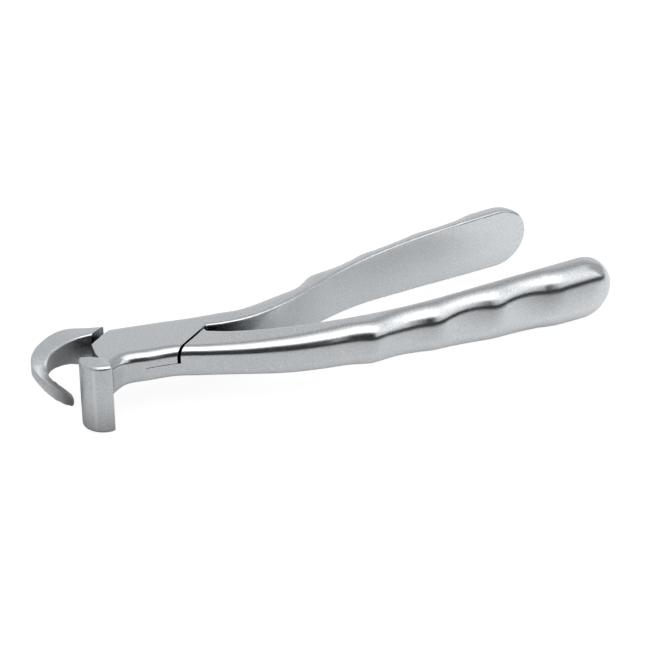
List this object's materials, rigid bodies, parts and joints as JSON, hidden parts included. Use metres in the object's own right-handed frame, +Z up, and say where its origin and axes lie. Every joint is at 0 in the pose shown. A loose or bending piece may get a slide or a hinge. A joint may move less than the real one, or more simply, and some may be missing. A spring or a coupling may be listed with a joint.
{
  "type": "dental extraction forceps",
  "caption": "Dental extraction forceps: two crossed steel levers on a half-lap joint, one ending in a hooked beak and the other in a half-moon bumper, with finger-grooved handles.",
  "frame": {"origin": "on the pivot axis, level with the flat top of the joint", "axes": "+X from the pivot to the handles, +Y towards the rear handle that belongs to the bumper lever, +Z up along the pivot axis; the bumper column hangs down"},
  "size_m": [0.1688, 0.0518, 0.0251],
  "materials": {
    "satin_steel": "satin",
    "pin_steel": "ground flush with the joint faces, satin"
  },
  "bodies": {
    "beak_side": {"beak_lever": "satin_steel"},
    "bumper_side": {"bumper_lever": "satin_steel", "pivot_pin": "pin_steel"}
  },
  "joints": [
    {"name": "lever_pivot", "type": "hinge", "parent": "beak_side", "child": "bumper_side", "pos_m": [0, 0, 0], "axis": [0, 0, 1], "range_deg": [-4.5, 20]}
  ]
}
